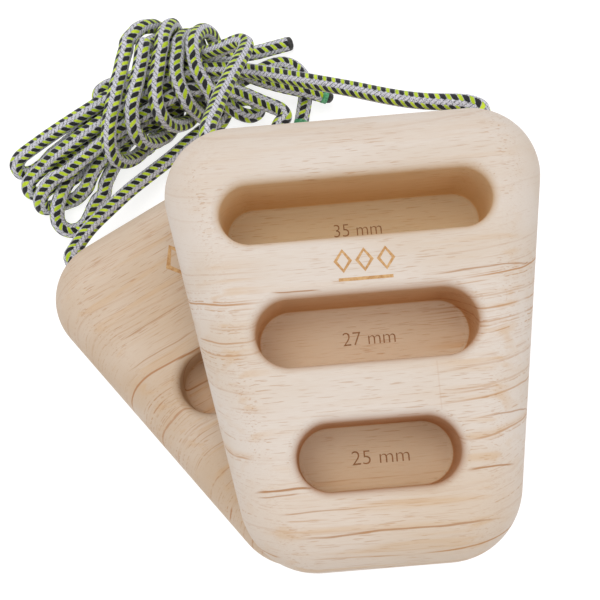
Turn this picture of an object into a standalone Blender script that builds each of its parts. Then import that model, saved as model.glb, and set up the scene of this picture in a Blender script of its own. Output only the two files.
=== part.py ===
"""Pair of portable wooden hangboards, one lying on the other, with their tied-up cords.

Each block is a tapered slab with full-round finger pockets in both faces and a U-shaped passage
through its top end for the cord it hangs on. The four cord strands run to one wrapped hank.
Metres, +Z up. The floor is z = 0, and the origin is below the middle of the two blocks.
"""
import math

import bmesh
import bpy
import numpy as np
from mathutils import Matrix, Vector

MM = 0.001

# Plan of a block: its top and foot are measured between the sharp corners, before rounding
TOP_WIDTH = 137.5 * MM
FOOT_WIDTH = 84 * MM
HEIGHT = 151 * MM
THICKNESS = 55 * MM
TOP_CORNER = 23.5 * MM
FOOT_CORNER = 25.5 * MM
EDGE_ROUNDING = 17 * MM
EDGE_STEPS = 4
CORNER_STEPS = 10

# Pockets: height of the middle line above the block's middle, half length, half height, depth
DEEP_POCKET = (40.25 * MM, 45 * MM, 10 * MM, 35 * MM)
MIDDLE_POCKET = (0.5 * MM, 36 * MM, 11 * MM, 27 * MM)
FOOT_POCKET = (-40 * MM, 26 * MM, 10.75 * MM, 25 * MM)
BACK_POCKET = (2.5 * MM, 37.5 * MM, 11.5 * MM, 19 * MM)
RIM_ROUNDING = 3.5 * MM
FLOOR_ROUNDING = 2 * MM
POCKET_STEPS = 9

# How the two blocks lie: the rear one is turned over and swung about the vertical
REAR_SWING = math.radians(27.2)
REAR_PLACE = (-32.3 * MM, 3.3 * MM)
RESTING_GAP = 0.3 * MM

# Cord and its passage in a block
CORD = 6 * MM
CORD_PLAY = 0.5 * MM
MOUTH_PLACE = 49 * MM
PASSAGE_DOWN = 15.5 * MM
PASSAGE_BEND = 7 * MM
MOUTH_STAND = 1.5 * MM
FACE_GAP = 0.3 * MM

# Hank: lanes of strands inside the wraps, in columns and rows, and the wraps round them
HANK_PLACE = (-76 * MM, 120.2 * MM)
HANK_TURN = math.radians(208)
LANE_SPACE = 1.2 * MM
COLUMN = CORD + LANE_SPACE
ROW = CORD + LANE_SPACE
LOWEST_ROW = 10.2 * MM
LANE_START, LANE_END = -13 * MM, 15 * MM
WRAPS = 4.5
WRAP_PITCH = 8.9 * MM
WRAP_START = -30 * MM
WRAP_LEAN, WRAP_LEAN_MORE = 0.35, 0.85
WRAP_BOW = 7 * MM
WRAP_HALF_WIDTH = 14.5 * MM
WRAP_HALF_HEIGHT = 14.2 * MM
WRAP_SQUARENESS = 0.9
WRAP_WIDER, WRAP_TALLER, WRAP_OFFSET = 6.5 * MM, 4 * MM, 2 * MM

# Hank loops: lane of the strand in, lane of the strand out, tip, half gap and tilt at the tip, pull
LOOPS = (
    ((1, 2), (1, 1), (65.8, 7.9, 7.4), 4.8, 50, 1.1, 1.0),
    ((0, 2), (0, 1), (66.3, -3.3, 7.4), 4.8, 50, 1.0, 1.3),
    ((-1, 2), (-1, 1), (66.6, -12.1, 7.2), 4.4, 58, 0.9, 1.2),
    ((0, 0), (-1, 0), (62.0, -25.4, 5.2), 7.2, 15, 0.8, 1.7),
)

# Routes of the free strands, in millimetres from the front block's middle, heights from the floor
FRONT_LEFT_ROUTE = (
    (-48.6, 83.5, 80.8), (-47, 88.5, 76.5), (-45, 96.5, 71), (-42, 104.5, 65.5), (-38.5, 113, 60),
    (-34.5, 121.5, 53.5), (-32.5, 127.5, 49.5), (-35, 130.5, 47), (-40, 130, 42.5),
    (-47.5, 131, 35.5), (-53, 131.5, 30.5), (-60, 132, 26))
FRONT_RIGHT_ROUTE = (
    (47.8, 81.6, 82.8), (44.5, 83.6, 82.2), (40, 84.2, 80.8), (35, 84.9, 78.8), (29.5, 86.5, 76),
    (20, 91.5, 69), (5, 100.5, 59), (-8.5, 107.5, 51), (-21, 114.5, 43), (-34, 121.5, 34.5),
    (-45.5, 126.5, 28), (-56.5, 127.5, 25))
REAR_RIGHT_ROUTE = (
    (-25, 98.8, 27.4), (-21.5, 101.3, 27.2), (-20.2, 104.2, 27), (-23.5, 107, 26.6), (-29, 110, 26),
    (-37, 114.9, 25.5), (-44.3, 118.5, 25), (-52.5, 120.7, 24.5))
REAR_LEFT_ROUTE = (
    (-111, 55, 25.5), (-109, 59.5, 24), (-105, 65.5, 21.5), (-98, 72.5, 18), (-89, 82, 13.5),
    (-79.5, 89.5, 10.5), (-71, 96, 8.5), (-63.5, 103, 6.5), (-58.5, 110.5, 4.5))
SIDE_CURL = (
    (-52.5, 116.5, 3.6), (-46.5, 121.5, 3.4), (-40, 123, 3.3), (-35, 121, 3.5), (-32, 116, 4.2),
    (-35, 112, 6), (-39, 112, 8), (-43.5, 115, 10), (-47.5, 119, 10.5), (-57.5, 124.5, 10.2))
FIRST_TAIL = (
    (-60.5, 135.5, 15.5), (-48.5, 137, 11.5), (-41.5, 140.5, 7.5), (-34.5, 140.5, 4.2),
    (-28.5, 142.5, 3.2), (-22, 144.5, 3.2), (-18.5, 145, 3.2))
SECOND_TAIL = (
    (-57, 128, 15.5), (-48.5, 128.5, 12), (-42.5, 129.5, 10.5), (-37, 128.5, 10), (-28, 125, 10),
    (-19, 122, 10), (-10, 119.5, 9.9), (-4, 118, 8.2))
THIRD_TAIL = (
    (-55, 123.5, 16.5), (-50, 127, 13), (-45, 126.5, 8), (-38.5, 130.5, 3.4), (-32.5, 133, 3.2),
    (-26.5, 136.5, 3.2), (-20, 138, 3.2), (-14, 135, 3.2), (-10.5, 129.5, 3.2), (-10, 123, 3.2),
    (-12, 117.5, 3.2), (-14, 111, 3.2))

# In the hank's own lanes: the curl that leads into the wraps, and the small bight that ends them
WRAP_CURL = ((-16.3, -8.4, 9.6), (-19.5, -12, 9), (-20.5, -15.6, 10))
END_BIGHT = ((-20, 22.5, 9), (-9, 17.5, 6), (1, 16.5, 8), (11, 17.5, 10.5), (18, 16.5, 12.5),
             (21, 12.5, 13), (18, 7.7, 11.5), (11, 7.2, 10.2), (0, 7.1, 10.2))

# Spacing and easing of the strands
APART = CORD + 1.35 * MM
ROUTE_STEP = 4 * MM
FLOOR_CLEAR = 0.15 * MM
EASE_ROUNDS = 300
NEXT_OF_KIN = 4
STEP_FREE, TURN_FREE = 22 * MM, math.radians(42)
STEP_LOOP, TURN_LOOP = 7 * MM, math.radians(22)
SIDES_FREE, SIDES_LOOP = 2, 1

# Fused ends of the cord: (length from the cord's face, width as a share of the cord's)
BANDED_END = ((0, 1.04), (3, 1.04), (3.2, 0.8), (6.2, 0.62))
DARK_END = ((0, 0.98), (1.6, 0.94), (2.4, 0.7))


def clear_scene():
    for item in list(bpy.data.objects):
        bpy.data.objects.remove(item)


def collection(name, hidden=False):
    group = bpy.data.collections.new(name)
    bpy.context.scene.collection.children.link(group)
    group.hide_render = hidden
    return group


def material(name, colour, roughness, metallic=0.0):
    made = bpy.data.materials.new(name)
    made.use_nodes = True
    shader = made.node_tree.nodes["Principled BSDF"]
    shader.inputs["Base Color"].default_value = (*colour, 1.0)
    shader.inputs["Roughness"].default_value = roughness
    shader.inputs["Metallic"].default_value = metallic
    return made


# Plan outline of a block

def corner_points(centre, radius, start, end, steps):
    angles = np.linspace(start, end, steps + 1)
    return [(centre[0] + radius * math.cos(a), centre[1] + radius * math.sin(a)) for a in angles]


def side_slope():
    """Angle between a side of the block and the vertical of its plan"""
    return math.atan2((TOP_WIDTH - FOOT_WIDTH) / 2, HEIGHT)


def corner_centre(level, half_width, radius, at_top):
    """Middle of a corner's arc: it touches the end of the block and its sloping side"""
    slope = side_slope()
    y = level - radius if at_top else level + radius
    half_there = half_width - (level - y) * math.tan(slope)
    return half_there - radius / math.cos(slope), y


def outline(inset=0.0):
    """Closed outline of the plan, drawn in by inset, counter-clockwise from the right of the top"""
    slope = side_slope()
    top = corner_centre(HEIGHT / 2, TOP_WIDTH / 2, TOP_CORNER, True)
    foot = corner_centre(-HEIGHT / 2, FOOT_WIDTH / 2, FOOT_CORNER, False)
    right_top = corner_points(top, TOP_CORNER - inset, -slope, math.pi / 2, CORNER_STEPS)
    right_foot = corner_points(foot, FOOT_CORNER - inset, -math.pi / 2, -slope, CORNER_STEPS)
    left_top = [(-x, y) for x, y in reversed(right_top)]
    left_foot = [(-x, y) for x, y in reversed(right_foot)]
    return right_top + left_top + left_foot + right_foot


def mouth():
    """Where the cord's passage comes out of the right corner of the top end"""
    centre = corner_centre(HEIGHT / 2, TOP_WIDTH / 2, TOP_CORNER, True)
    return MOUTH_PLACE, centre[1] + math.sqrt(TOP_CORNER ** 2 - (MOUTH_PLACE - centre[0]) ** 2)


# Where the blocks lie

def swung(point, swing, place):
    c, s = math.cos(swing), math.sin(swing)
    return c * point[0] - s * point[1] + place[0], s * point[0] + c * point[1] + place[1]


def pair_middle():
    """Middle of the box round both blocks, from the front block's middle"""
    both = outline() + [swung(p, REAR_SWING, REAR_PLACE) for p in outline()]
    xs, ys = zip(*both)
    return (min(xs) + max(xs)) / 2, (min(ys) + max(ys)) / 2


MIDDLE = pair_middle()
FRONT_CENTRE = (-MIDDLE[0], -MIDDLE[1], THICKNESS * 1.5 + RESTING_GAP)
REAR_CENTRE = (REAR_PLACE[0] - MIDDLE[0], REAR_PLACE[1] - MIDDLE[1], THICKNESS / 2)
FRONT_FRAME = Matrix.Translation(FRONT_CENTRE)
REAR_FRAME = (Matrix.Translation(REAR_CENTRE) @ Matrix.Rotation(REAR_SWING, 4, "Z")
              @ Matrix.Rotation(math.pi, 4, "Y"))


# Blocks

def solid_from_curve(curve_object, group):
    """Closed mesh of a curve object, its loose caps welded on"""
    scene = bpy.context.scene
    scene.collection.objects.link(curve_object)
    bpy.context.view_layer.update()
    evaluated = curve_object.evaluated_get(bpy.context.evaluated_depsgraph_get())
    mesh = bpy.data.meshes.new_from_object(evaluated)
    work = bmesh.new()
    work.from_mesh(mesh)
    bmesh.ops.remove_doubles(work, verts=work.verts, dist=0.00001)
    bmesh.ops.recalc_face_normals(work, faces=work.faces)
    work.to_mesh(mesh)
    work.free()
    made = bpy.data.objects.new(curve_object.name + "_solid", mesh)
    made.matrix_world = curve_object.matrix_world
    group.objects.link(made)
    bpy.data.objects.remove(curve_object)
    return made


def slab():
    """Block before its pockets: the plan drawn in by the edge rounding, then swept back out"""
    curve = bpy.data.curves.new("slab", "CURVE")
    curve.dimensions = "2D"
    curve.fill_mode = "BOTH"
    points = outline(EDGE_ROUNDING)
    spline = curve.splines.new("POLY")
    spline.points.add(len(points) - 1)
    for target, (x, y) in zip(spline.points, points):
        target.co = (x, y, 0, 1)
    spline.use_cyclic_u = True
    curve.extrude = THICKNESS / 2 - EDGE_ROUNDING
    curve.bevel_depth = EDGE_ROUNDING
    curve.bevel_resolution = EDGE_STEPS
    return bpy.data.objects.new("slab", curve)


def stadium(half_length, half_height, offset):
    """Long hole's outline with full-round ends, grown by offset"""
    radius = half_height + offset
    reach = half_length - half_height
    right = corner_points((reach, 0), radius, -math.pi / 2, math.pi / 2, POCKET_STEPS)
    return right + [(-x, -y) for x, y in right]


def pocket_rings(half_length, half_height, depth):
    """Outlines of a pocket from its floor up: rounded floor edge, straight wall, rounded rim"""
    rings = []
    for share in (0.0, 0.4, 1.0):
        turn = share * math.pi / 2
        rings.append((-FLOOR_ROUNDING * (1 - math.sin(turn)),
                      -depth + FLOOR_ROUNDING * (1 - math.cos(turn))))
    for share in (0.0, 0.3, 0.55, 0.8):
        turn = share * math.pi / 2
        rings.append((RIM_ROUNDING * (1 - math.cos(turn)), -RIM_ROUNDING * (1 - math.sin(turn))))
    rings.append((RIM_ROUNDING * 1.5, RIM_ROUNDING * 0.4))
    return [[(x, y, z) for x, y in stadium(half_length, half_height, off)] for off, z in rings]


def loft(name, rings, group):
    """Closed solid through unlike outlines with the same number of points"""
    work = bmesh.new()
    rows = [[work.verts.new(p) for p in ring] for ring in rings]
    count = len(rows[0])
    for low, high in zip(rows, rows[1:]):
        for i in range(count):
            j = (i + 1) % count
            work.faces.new((low[i], low[j], high[j], high[i]))
    work.faces.new(list(reversed(rows[0])))
    work.faces.new(rows[-1])
    mesh = bpy.data.meshes.new(name)
    work.to_mesh(mesh)
    work.free()
    made = bpy.data.objects.new(name, mesh)
    group.objects.link(made)
    return made


def passage_route(above):
    """Half of the U from the right mouth to the middle, then the other half, above the mouths"""
    x, y = mouth()
    cross = HEIGHT / 2 - PASSAGE_DOWN
    bend = corner_points((x - PASSAGE_BEND, cross + PASSAGE_BEND), PASSAGE_BEND, 0, -math.pi / 2, 4)
    half = [(x, y + above)] + bend
    return [(px, py, 0) for px, py in half] + [(-px, py, 0) for px, py in reversed(half)]


def cord_tube(name, points, across, resolution, shares=None):
    curve = bpy.data.curves.new(name, "CURVE")
    curve.dimensions = "3D"
    curve.bevel_depth = across / 2
    curve.bevel_resolution = resolution
    curve.use_fill_caps = True
    spline = curve.splines.new("POLY")
    spline.points.add(len(points) - 1)
    for i, point in enumerate(points):
        spline.points[i].co = (*point, 1)
        spline.points[i].radius = shares[i] if shares is not None else 1.0
    return bpy.data.objects.new(name, curve)


def cut(body, cutter):
    cutter.parent = body
    cutter.hide_render = True
    cutter.display_type = "WIRE"
    modifier = body.modifiers.new(cutter.name, "BOOLEAN")
    modifier.operation = "DIFFERENCE"
    modifier.solver = "EXACT"
    modifier.object = cutter


def block(name, frame, parts, cutters, wood):
    made = solid_from_curve(slab(), parts)
    made.name = name
    face = THICKNESS / 2
    pockets = (("deep", DEEP_POCKET, False), ("middle", MIDDLE_POCKET, False),
               ("foot", FOOT_POCKET, False), ("back", BACK_POCKET, True))
    for label, (level, half_length, half_height, depth), behind in pockets:
        rings = pocket_rings(half_length, half_height, depth)
        cutter = loft(f"{name}_{label}_pocket", rings, cutters)
        over = Matrix.Rotation(math.pi if behind else 0, 4, "Y")
        cutter.matrix_world = over @ Matrix.Translation((0, level, face))
        cut(made, cutter)
    bore = cord_tube(f"{name}_passage", passage_route(CORD * 2), CORD + 2 * CORD_PLAY, 4)
    cut(made, solid_from_curve(bore, cutters))
    made.matrix_world = frame
    made.data.materials.clear()
    made.data.materials.append(wood)
    return made


# Cord: routes as numpy rows of points

def along(line):
    return np.r_[0, np.cumsum(np.linalg.norm(np.diff(line, axis=0), axis=1))]


def read_evenly(line, step):
    reach = along(line)
    places = np.linspace(0, reach[-1], max(2, round(reach[-1] / step)) + 1)
    return np.stack([np.interp(places, reach, line[:, k]) for k in range(3)], 1)


def smooth(points, step, density=8):
    """Centripetal curve through the points, read at even steps"""
    p = np.vstack([2 * points[0] - points[1], points, 2 * points[-1] - points[-2]])
    pieces = []
    for a, b, c, d in zip(p[:-3], p[1:-2], p[2:-1], p[3:]):
        t1, t2, t3 = np.cumsum([np.linalg.norm(v) ** 0.5 for v in (b - a, c - b, d - c)])
        t = np.linspace(t1, t2, density, endpoint=False)[:, None]
        ab = ((t1 - t) * a + t * b) / t1
        bc = ((t2 - t) * b + (t - t1) * c) / (t2 - t1)
        cd = ((t3 - t) * c + (t - t2) * d) / (t3 - t2)
        abc = ((t2 - t) * ab + t * bc) / t2
        bcd = ((t3 - t) * bc + (t - t1) * cd) / (t3 - t1)
        pieces.append(((t2 - t) * abc + (t - t1) * bcd) / (t2 - t1))
    return read_evenly(np.vstack(pieces + [points[-1:]]), step)


def hank(local):
    """Hank's own lanes (along the lanes, across them, height) to the model's place"""
    local = np.asarray(local, float)
    c, s = math.cos(HANK_TURN), math.sin(HANK_TURN)
    x = HANK_PLACE[0] + c * local[:, 0] + s * local[:, 1] - MIDDLE[0]
    y = HANK_PLACE[1] + s * local[:, 0] - c * local[:, 1] - MIDDLE[1]
    return np.stack([x, y, local[:, 2]], 1)


def placed(route):
    """Route in millimetres from the front block's middle to the model's place"""
    return np.array(route, float) * MM - (MIDDLE[0], MIDDLE[1], 0)


def lane(column_row):
    return np.array([column_row[0] * COLUMN, LOWEST_ROW + column_row[1] * ROW])


def loop(way_in, way_out, tip, half_gap, tilt, pull, dive):
    """Strand along its lane, round the loop's tip and back: two strands beside a bent middle line.

    The middle line is a Hermite curve from between the two lanes to the tip, the strands lie half
    a gap each side of it, turned from the lanes' slant to the tip's, and close in a half circle.
    """
    lane_in, lane_out = lane(way_in), lane(way_out)
    start = np.r_[LANE_END, (lane_in + lane_out) / 2]
    end = np.array(tip) * MM
    half_gap = half_gap * MM
    chord = end - start
    reach = np.linalg.norm(chord)
    leave = np.array([pull * reach, 0, 0])
    arrive = np.array([chord[0], chord[1] * dive, 0])
    arrive *= 0.9 * reach / np.linalg.norm(arrive)
    s = np.linspace(0, 1, 400)[:, None]
    middle = ((2 * s ** 3 - 3 * s ** 2 + 1) * start + (s ** 3 - 2 * s ** 2 + s) * leave
              + (3 * s ** 2 - 2 * s ** 3) * end + (s ** 3 - s ** 2) * arrive)
    heading = np.gradient(middle, axis=0)
    heading /= np.linalg.norm(heading, axis=1)[:, None]
    side = np.stack([-heading[:, 1], heading[:, 0], 0 * heading[:, 0]], 1)
    side /= np.linalg.norm(side, axis=1)[:, None]
    up = np.cross(heading, side)
    up *= np.sign(up[:, 2:3])
    share = np.clip(s[:, 0] * 1.25, 0, 1)
    share = share * share * (3 - 2 * share)
    spread = lane_in - lane_out
    slant = math.atan2(spread[1], spread[0])
    slant = slant + (math.radians(tilt) - slant) * share
    half = np.linalg.norm(spread) / 2
    half = half + (half_gap - half) * share
    left = along(middle)[-1] - along(middle)
    closing = np.clip(1 - ((half_gap - np.minimum(left, half_gap)) / half_gap) ** 2, 0, 1)
    half = half * np.sqrt(closing)
    away = (np.cos(slant) * half)[:, None] * side + (np.sin(slant) * half)[:, None] * up
    round_tip = np.vstack([middle + away, (middle - away)[::-1][1:]])
    places = np.linspace(LANE_START, LANE_END, 12)[:-1]
    level = np.ones(len(places))
    inward = np.stack([places, lane_in[0] * level, lane_in[1] * level], 1)
    outward = np.stack([places[::-1], lane_out[0] * level, lane_out[1] * level], 1)
    return hank(read_evenly(np.vstack([inward, round_tip, outward]), ROUTE_STEP))


def wrapping():
    """Wraps: a squared ellipse round the lanes, carried along them, each one bowed towards the tips.

    They get wider and taller, and lean further back, from the first wrap to the last.
    """
    turns = np.linspace(0, WRAPS, 500)
    angle = math.pi - 2 * math.pi * turns
    c, s = np.cos(angle), np.sin(angle)
    grow = turns / WRAPS
    reach = np.sign(c) * np.abs(c) ** WRAP_SQUARENESS
    rise = np.sign(s) * np.abs(s) ** WRAP_SQUARENESS
    across = WRAP_OFFSET * grow + (WRAP_HALF_WIDTH + WRAP_WIDER * grow) * reach
    lowest = CORD / 2 + FLOOR_CLEAR
    height = lowest + (WRAP_HALF_HEIGHT + WRAP_TALLER * grow) * (1 + rise)
    lean = WRAP_LEAN + WRAP_LEAN_MORE * grow
    lengthwise = WRAP_START + WRAP_PITCH * turns - lean * across + WRAP_BOW * rise
    return hank(read_evenly(np.stack([lengthwise, across, height], 1), ROUTE_STEP))


def ease_apart(lines):
    """Move strands apart, a little at a time, where they would touch each other or the floor.

    Each round pushes points that are too near apart, evens the bends, draws every strand towards
    its own route and restores its length. The first points of each line stay in the block.
    """
    x = np.vstack(lines)
    owner = np.concatenate([np.full(len(line), i) for i, line in enumerate(lines)])
    index = np.arange(len(x))
    kin = (owner[:, None] == owner) & (np.abs(index[:, None] - index) <= NEXT_OF_KIN)
    linked = owner[1:] == owner[:-1]
    inner = np.r_[False, linked[1:] & linked[:-1], False]
    held = np.isin(index, [n for s in np.flatnonzero(np.r_[True, ~linked]) for n in (s, s + 1)])
    home = x.copy()
    rest = np.linalg.norm(np.diff(x, axis=0), axis=1)
    for count in range(EASE_ROUNDS):
        calm = 1 - count / EASE_ROUNDS
        if count % 8 == 0:
            distance = np.linalg.norm(x[:, None] - x, axis=2)
            one, other = np.nonzero(np.triu((distance < APART * 1.6) & ~kin, 1))
        across = x[one] - x[other]
        distance = np.linalg.norm(across, axis=1)[:, None]
        push = across / distance * np.clip(APART - distance, 0, None) * 0.3
        np.add.at(x, one, push)
        np.add.at(x, other, -push)
        middle = (x[2:] + x[:-2]) / 2
        bend = np.zeros_like(x)
        bend[1:-1] = middle - x[1:-1]
        x[inner] += 0.2 * calm * bend[inner]
        x += 0.02 * calm * (home - x)
        for repeat in range(2):
            step = np.diff(x, axis=0)
            length = np.linalg.norm(step, axis=1)
            pull = step * ((length - rest) / length * 0.4 * linked)[:, None]
            x[:-1] += pull
            x[1:] -= pull
        x[:, 2] = np.maximum(x[:, 2], CORD / 2 + FLOOR_CLEAR)
        x[held] = home[held]
    return [x[owner == i] for i in range(len(lines))]


def start_of_lead(frame, side):
    """Two points straight out of a block's passage, the first one where the lead begins"""
    x, y = mouth()
    outs = (FACE_GAP, FACE_GAP + CORD / 2)
    return np.array([frame @ Vector((side * x, y + MOUTH_STAND + out, 0)) for out in outs])


def strands():
    """The four unbroken strands, eased apart, and where each is parted into nodes"""
    starts = (start_of_lead(FRONT_FRAME, -1), start_of_lead(FRONT_FRAME, 1),
              start_of_lead(REAR_FRAME, -1), start_of_lead(REAR_FRAME, 1))
    routes = (FRONT_LEFT_ROUTE, FRONT_RIGHT_ROUTE, REAR_RIGHT_ROUTE, REAR_LEFT_ROUTE)
    tails = (FIRST_TAIL, SECOND_TAIL, THIRD_TAIL)
    lines, partings = [], []
    for number, (start, route) in enumerate(zip(starts, routes)):
        lead = np.vstack([start, placed(route)])
        turn = loop(*LOOPS[number])
        if number < 3:
            pieces = [lead, turn, placed(tails[number])]
            marks = [turn[1], turn[-2]]
        else:
            curl = placed(SIDE_CURL)
            end = hank(np.array(END_BIGHT) * MM)
            pieces = [lead, curl, turn, hank(np.array(WRAP_CURL) * MM), wrapping()[1:], end]
            marks = [lead[-1]]
        line = smooth(np.vstack(pieces), ROUTE_STEP)
        lines.append(line)
        partings.append([int(np.argmin(np.linalg.norm(line - mark, axis=1))) for mark in marks])
    return ease_apart(lines), partings


def stretch(line, first, last, step, turn):
    """Points of a strand between two places along it, closer where it bends, and its last heading.

    Points lie evenly over the length divided by the longest step plus the bend divided by the
    largest turn. The first and last steps keep the strand's own heading there.
    """
    fine = smooth(line, MM / 2)
    reach = along(fine)
    headings = np.diff(fine, axis=0)
    headings /= np.linalg.norm(headings, axis=1)[:, None]
    bends = np.arccos(np.clip((headings[1:] * headings[:-1]).sum(1), -1, 1))
    effort = reach / step + np.r_[0, 0, np.cumsum(bends)] / turn
    stub = CORD / 3
    low, high = np.interp([first + stub, last - stub], reach, effort)
    places = np.interp(np.linspace(low, high, max(2, math.ceil(high - low))), effort, reach)
    places = np.r_[first, places, last]
    points = np.stack([np.interp(places, reach, fine[:, k]) for k in range(3)], 1)
    leave, arrive = headings[[np.searchsorted(reach[1:-1], place) for place in (first, last)]]
    points[1] = points[0] + leave * stub
    points[-2] = points[-1] - arrive * stub
    return points, arrive


def least_gap(line):
    """Smallest gap of a strand to itself, measured on points one millimetre apart"""
    points = read_evenly(line, MM)
    distance = np.linalg.norm(points[:, None] - points, axis=2)
    index = np.arange(len(points))
    distance[np.abs(index[:, None] - index) < 2 * CORD / MM] = 1
    return distance.min() - CORD


def end_piece(name, line_end, heading, profile, group, colour):
    face = line_end + heading * FACE_GAP
    points = [face + heading * length * MM for length, share in profile]
    made = cord_tube(name, points, CORD, SIDES_FREE, [share for length, share in profile])
    made.data.materials.append(colour)
    group.objects.link(made)


def cord_node(name, points, resolution, group, colour):
    made = cord_tube(name, points, CORD, resolution)
    made.data.materials.append(colour)
    group.objects.link(made)


def cords(group, colour, green, dark):
    for name, frame in (("front_cord_inside", FRONT_FRAME), ("rear_cord_inside", REAR_FRAME)):
        inside = cord_tube(name, passage_route(MOUTH_STAND), CORD, SIDES_FREE)
        inside.matrix_world = frame
        inside.data.materials.append(colour)
        group.objects.link(inside)
    lines, partings = strands()
    leads = ("front_left_lead", "front_right_lead", "rear_right_lead", "rear_left_lead")
    half_gap = FACE_GAP / 2
    for number, (line, parting, lead) in enumerate(zip(lines, partings, leads)):
        reach = along(line)
        places = [reach[i] for i in parting]
        points, heading = stretch(line, 0, places[0] - half_gap, STEP_FREE, TURN_FREE)
        cord_node(lead, points, SIDES_FREE, group, colour)
        print(lead, "points", len(points))
        last = reach[-1] if number == 3 else places[1] - half_gap
        points, heading = stretch(line, places[0] + half_gap, last, STEP_LOOP, TURN_LOOP)
        loop_name = "hank_wrapping" if number == 3 else f"hank_loop_{number + 1}"
        cord_node(loop_name, points, SIDES_LOOP, group, colour)
        print(loop_name, "least gap to itself", round(least_gap(points) / MM, 2), "mm")
        if number < 3:
            points, heading = stretch(line, places[1] + half_gap, reach[-1], STEP_FREE, TURN_FREE)
            cord_node(f"tail_{number + 1}", points, SIDES_FREE, group, colour)
            print("tail", "points", len(points))
        banded = number in (1, 2)
        end_piece(f"cord_end_{number + 1}", points[-1], heading,
                  BANDED_END if banded else DARK_END, group, green if banded else dark)
        print(lead, "strand length", round(reach[-1] / MM), "mm")


def build():
    clear_scene()
    parts = collection("hangboard_pair")
    cutters = collection("cutters", hidden=True)
    wood = material("beech", (0.76, 0.66, 0.55), 0.6)
    darker_wood = material("beech_rear", (0.72, 0.60, 0.49), 0.6)
    cord = material("cord", (0.45, 0.50, 0.28), 0.8)
    green = material("green_band", (0.05, 0.32, 0.18), 0.5)
    dark = material("fused_end", (0.03, 0.03, 0.03), 0.6)
    block("front_block", FRONT_FRAME, parts, cutters, wood)
    block("rear_block", REAR_FRAME, parts, cutters, darker_wood)
    cords(parts, cord, green, dark)


build()
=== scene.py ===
"""Looks of a pair of wooden hangboards: two pocketed blocks, their braided cord and burnt numbers.

Metres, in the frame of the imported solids. Sizes and cord routes repeat those of the solids, but
the three marked pockets lie up to 1 mm nearer the top end, as the camera sees them.
"""
import math

import bpy
import numpy as np
from mathutils import Matrix, Vector


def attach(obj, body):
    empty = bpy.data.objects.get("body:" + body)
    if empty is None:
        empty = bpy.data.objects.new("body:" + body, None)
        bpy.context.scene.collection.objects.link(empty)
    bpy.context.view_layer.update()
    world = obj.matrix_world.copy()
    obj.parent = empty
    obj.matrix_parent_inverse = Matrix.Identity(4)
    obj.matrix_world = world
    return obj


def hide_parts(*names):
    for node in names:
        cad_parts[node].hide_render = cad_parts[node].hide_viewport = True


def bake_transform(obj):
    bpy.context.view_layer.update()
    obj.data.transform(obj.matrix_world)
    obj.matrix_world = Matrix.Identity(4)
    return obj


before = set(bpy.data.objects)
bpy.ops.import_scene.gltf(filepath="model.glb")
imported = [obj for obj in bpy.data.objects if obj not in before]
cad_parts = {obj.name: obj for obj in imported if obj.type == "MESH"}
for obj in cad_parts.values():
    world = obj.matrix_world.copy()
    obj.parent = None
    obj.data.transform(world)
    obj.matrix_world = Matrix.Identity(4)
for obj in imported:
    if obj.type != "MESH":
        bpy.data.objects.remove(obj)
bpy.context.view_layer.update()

MM = 0.001

# Blocks: plan between sharp corners, pockets as (level, half length, half height, depth), and
# whether each is in the back face
TOP_WIDTH, FOOT_WIDTH, HEIGHT, THICKNESS = 137.5 * MM, 84 * MM, 151 * MM, 55 * MM
TOP_CORNER, FOOT_CORNER, EDGE_ROUNDING = 23.5 * MM, 25.5 * MM, 17 * MM
SLOPE = math.atan2((TOP_WIDTH - FOOT_WIDTH) / 2, HEIGHT)
DEEP_POCKET = (41.25 * MM, 45 * MM, 10 * MM, 35 * MM)
MIDDLE_POCKET = (0.9 * MM, 36 * MM, 11 * MM, 27 * MM)
FOOT_POCKET = (-39.6 * MM, 26 * MM, 10.75 * MM, 25 * MM)
BACK_POCKET = (2.5 * MM, 37.5 * MM, 11.5 * MM, 19 * MM)
POCKETS = ((DEEP_POCKET, False), (MIDDLE_POCKET, False), (FOOT_POCKET, False), (BACK_POCKET, True))
RIM_ROUNDING, FLOOR_ROUNDING = 3.5 * MM, 2 * MM
CORNER_STEPS, EDGE_STEPS, RIM_STEPS, ROUND_END_STEPS = 26, 14, 9, 28
FLOOR_EDGE_STEPS, BEND_STEPS = 6, 14
# A rim stops short of its quarter turn, and its cutter ends further out and up, in roundings
RIM_SHARE, RIM_OVER, RIM_RISE = 0.92, 1.35, 0.3
BORE_STEP, BORE_SIDES = 1.5 * MM, 28
SHARP_ANGLE, SHADING_WEIGHT = math.radians(32), 90

# Painted shade and light, with the end grain's browner tone, of each pocket's wall and floor, the
# depths between which a wall takes it on, and the share of the floor's rounding where the floor's
# begins
POCKET_SHADE_AND_TONE = (((1.13, 0.86, 0.5), (1.04, 0.94, 0.7)), ((0.88, 0.54, 0.26), (0.99, 0.86, 0.69)),
         ((0.8, 0.45, 0.22), (0.99, 0.87, 0.69)), ((1.18, 1.08, 0.96), (1.22, 1.12, 1.02)))
RIM_SHADE_AND_TONE_DEPTHS, FLOOR_BEGINS = (0.2 * MM, 4 * MM), 0.6

# How the blocks lie
REAR_SWING = math.radians(27.2)
REAR_PLACE = (-32.3 * MM, 3.3 * MM)
RESTING_GAP = 0.3 * MM

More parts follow.
